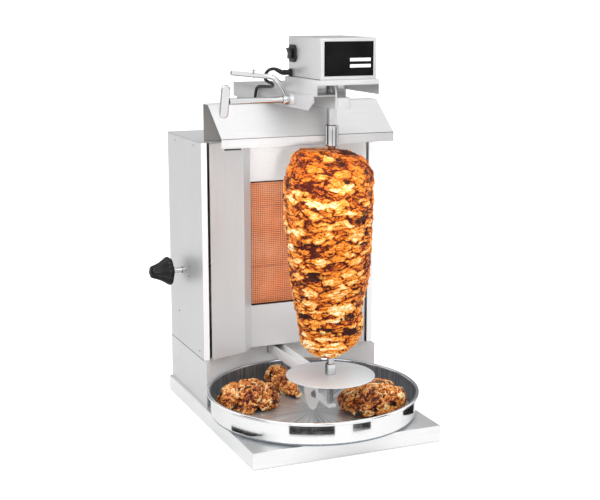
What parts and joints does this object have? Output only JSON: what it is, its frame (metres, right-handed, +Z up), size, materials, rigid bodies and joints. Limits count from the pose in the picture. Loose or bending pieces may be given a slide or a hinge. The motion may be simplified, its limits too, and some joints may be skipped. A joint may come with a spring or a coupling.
{
  "type": "vertical rotisserie broiler",
  "caption": "Countertop gas doner grill: steel casing with an infrared burner between wings, a motor-driven vertical spit with a meat cone, sliding arms, drip pan and hood.",
  "frame": {"origin": "middle of the outline of the machine without its mains cord, on the surface its feet stand on", "axes": "+Z up along the spit; the operator and the spit are on the -Y side, the burner casing on the +Y side; the gas knob is on the -X side"},
  "size_m": [0.5318, 0.8012, 0.878],
  "materials": {
    "brushed_panels": "brushed stainless sheet",
    "polished_steel": "polished stainless",
    "dull_steel": "dull, heat-marked",
    "burner_ceramic": "matt, fired",
    "burner_wire": "heat-oxidised wire",
    "gas_brass": "satin",
    "motor_paint": "satin paint",
    "black_plastic": "satin",
    "front_plate_black": "satin black",
    "cord_rubber": "satin",
    "foot_rubber": "matt",
    "cooked_meat": "moist, uneven"
  },
  "bodies": {
    "bodywork": {"base_tray": "brushed_panels", "plinth": "brushed_panels", "side_panel_left": "brushed_panels", "side_panel_right": "brushed_panels", "back_panel": "brushed_panels", "top_panel": "brushed_panels", "wing_left": "brushed_panels", "wing_right": "brushed_panels", "burner_panel": "brushed_panels", "heat_hood": "brushed_panels", "arm_support": "brushed_panels", "upper_arm_channel": "brushed_panels", "drip_pan": "polished_steel", "burner_box": "dull_steel", "venturi_tube": "dull_steel", "lower_arm_guide": "dull_steel", "ceramic_plaque_bottom": "burner_ceramic", "ceramic_plaque_middle": "burner_ceramic", "ceramic_plaque_top": "burner_ceramic", "burner_mesh": "burner_wire", "gas_pipe": "gas_brass", "gas_valve": "gas_brass", "gas_inlet": "gas_brass", "thermocouple": "gas_brass", "mains_plug": "black_plastic", "cord_lead": "cord_rubber", "cord_coil": "cord_rubber", "foot_front_left": "foot_rubber", "foot_front_right": "foot_rubber", "foot_rear_left": "foot_rubber", "foot_rear_right": "foot_rubber", "chicken_left": "cooked_meat", "chicken_middle": "cooked_meat", "chicken_right": "cooked_meat"},
    "lower_arm_body": {"lower_arm": "brushed_panels", "arm_bolt": "dull_steel"},
    "spit_body": {"spit": "polished_steel", "spit_disc": "polished_steel", "disc_hub": "polished_steel", "meat_cone": "cooked_meat"},
    "head": {"head_bar": "brushed_panels", "bearing_tube": "dull_steel", "motor_mount": "brushed_panels", "motor_housing": "brushed_panels", "front_plate": "front_plate_black", "gearbox_case": "dull_steel", "motor_body": "motor_paint", "switch_bezel": "black_plastic", "cable_gland": "black_plastic", "cord_stub": "cord_rubber"},
    "drive": {"drive_gear": "gas_brass", "drive_shaft": "polished_steel"},
    "sleeve": {"coupling_sleeve": "polished_steel"},
    "pinion": {"motor_pinion": "dull_steel"},
    "rocker": {"switch_rocker": "black_plastic"},
    "clamp": {"clamp_screw": "polished_steel", "clamp_grip": "polished_steel"},
    "release_lever": {"bent_lever": "polished_steel"},
    "knob_stem": {"valve_stem": "polished_steel"},
    "knob": {"gas_knob": "black_plastic"}
  },
  "joints": [
    {"name": "lower_arm_slide", "type": "slide", "parent": "bodywork", "child": "lower_arm_body", "axis": [0, 1, 0], "range_m": [0, 0.05]},
    {"name": "spit_spin", "type": "hinge", "parent": "lower_arm_body", "child": "spit_body", "pos_m": [0.02615, -0.17815, 0.15], "axis": [0, 0, 1], "continuous": true},
    {"name": "head_slide", "type": "slide", "parent": "bodywork", "child": "head", "axis": [0, 1, 0], "range_m": [0, 0.05]},
    {"name": "drive_spin", "type": "hinge", "parent": "head", "child": "drive", "pos_m": [0.02615, -0.17815, 0.75], "axis": [0, 0, 1], "continuous": true},
    {"name": "sleeve_lift", "type": "slide", "parent": "drive", "child": "sleeve", "axis": [0, 0, 1], "range_m": [0, 0.02]},
    {"name": "pinion_spin", "type": "hinge", "parent": "head", "child": "pinion", "pos_m": [0.02615, -0.13215, 0.808], "axis": [0, 0, 1], "continuous": true},
    {"name": "switch_rock", "type": "hinge", "parent": "head", "child": "rocker", "pos_m": [-0.04185, -0.11915, 0.843], "axis": [0, 1, 0], "range_deg": [0, 10]},
    {"name": "clamp_turn", "type": "hinge", "parent": "bodywork", "child": "clamp", "pos_m": [-0.17385, -0.13215, 0.748], "axis": [1, 0, 0], "range_deg": [0, 270]},
    {"name": "lever_tilt", "type": "hinge", "parent": "bodywork", "child": "release_lever", "pos_m": [-0.05985, -0.13215, 0.748], "axis": [1, 0, 0], "range_deg": [0, 60]},
    {"name": "knob_push", "type": "slide", "parent": "bodywork", "child": "knob_stem", "axis": [1, 0, 0], "range_m": [0, 0.004], "stiffness_N_per_m": 800, "springref_m": -0.002},
    {"name": "knob_turn", "type": "hinge", "parent": "knob_stem", "child": "knob", "pos_m": [-0.21385, 0.20585, 0.326], "axis": [1, 0, 0], "range_deg": [0, 180]}
  ],
  "couplings": [
    {"joint": "head_slide", "follows": "lower_arm_slide", "ratio": 1},
    {"joint": "drive_spin", "follows": "spit_spin", "ratio": 1},
    {"joint": "pinion_spin", "follows": "spit_spin", "ratio": -4}
  ]
}
